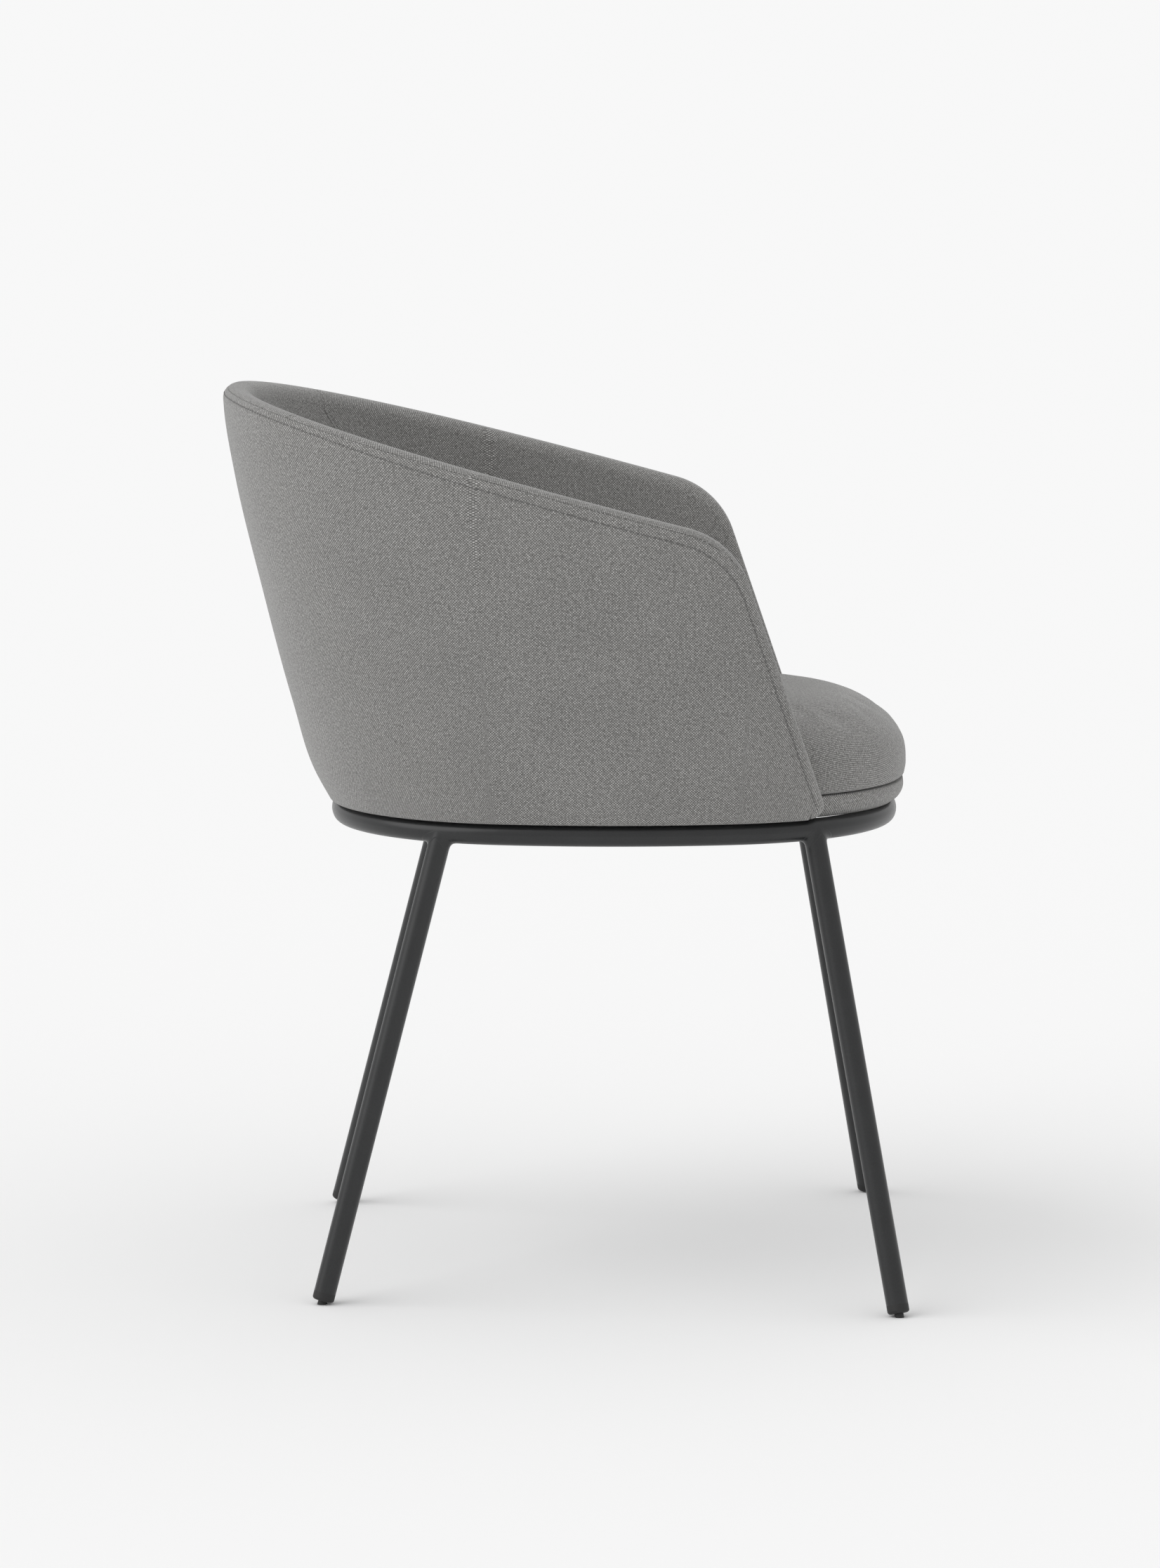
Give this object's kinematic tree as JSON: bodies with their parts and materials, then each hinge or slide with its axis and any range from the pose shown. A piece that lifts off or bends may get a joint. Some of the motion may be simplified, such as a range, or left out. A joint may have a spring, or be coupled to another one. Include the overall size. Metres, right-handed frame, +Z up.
{
  "type": "dining chair",
  "caption": "Upholstered tub dining chair: one-piece curved back and arms, crowned seat cushion, oval tube ring and splayed tube legs.",
  "frame": {"origin": "on the floor, under the middle of the chair's outline", "axes": "+Z up, -Y towards the front of the seat, +X towards the sitter's left hand"},
  "size_m": [0.5999, 0.6059, 0.7794],
  "materials": {
    "fabric": "woven melange upholstery fabric in mid grey",
    "black_metal": "matt black powder coat on steel tube",
    "black_plastic": "moulded black nylon",
    "zinc_steel": "zinc-plated steel",
    "plywood": "beech plywood",
    "foam": "cut polyurethane foam",
    "black_cloth": "black spun-bonded dust cloth"
  },
  "bodies": {
    "root": {"ring_frame": "black_metal", "leg_front_left": "black_metal", "leg_front_right": "black_metal", "leg_rear_left": "black_metal", "leg_rear_right": "black_metal", "weld_beads": "black_metal", "cross_rail_front": "black_metal", "cross_rail_rear": "black_metal", "foot_cap_front_left": "black_plastic", "foot_cap_front_right": "black_plastic", "foot_cap_rear_left": "black_plastic", "foot_cap_rear_right": "black_plastic", "glide_pads": "black_plastic", "rail_bolts": "zinc_steel", "rail_washers": "zinc_steel", "tee_nuts": "zinc_steel", "seat_board": "plywood", "shell_core": "plywood", "spacer_block_left": "plywood", "spacer_block_right": "plywood", "spacer_block_rear": "plywood", "shell_screws": "zinc_steel", "staples": "zinc_steel", "outer_foam": "foam", "inner_foam": "foam", "seat_base_foam": "foam", "seat_cushion_foam": "foam", "outer_cover": "fabric", "inner_cover_left": "fabric", "inner_cover_centre": "fabric", "inner_cover_right": "fabric", "seat_base_cover": "fabric", "seat_cushion_cover": "fabric", "dust_cover": "black_cloth"}
  },
  "joints": []
}
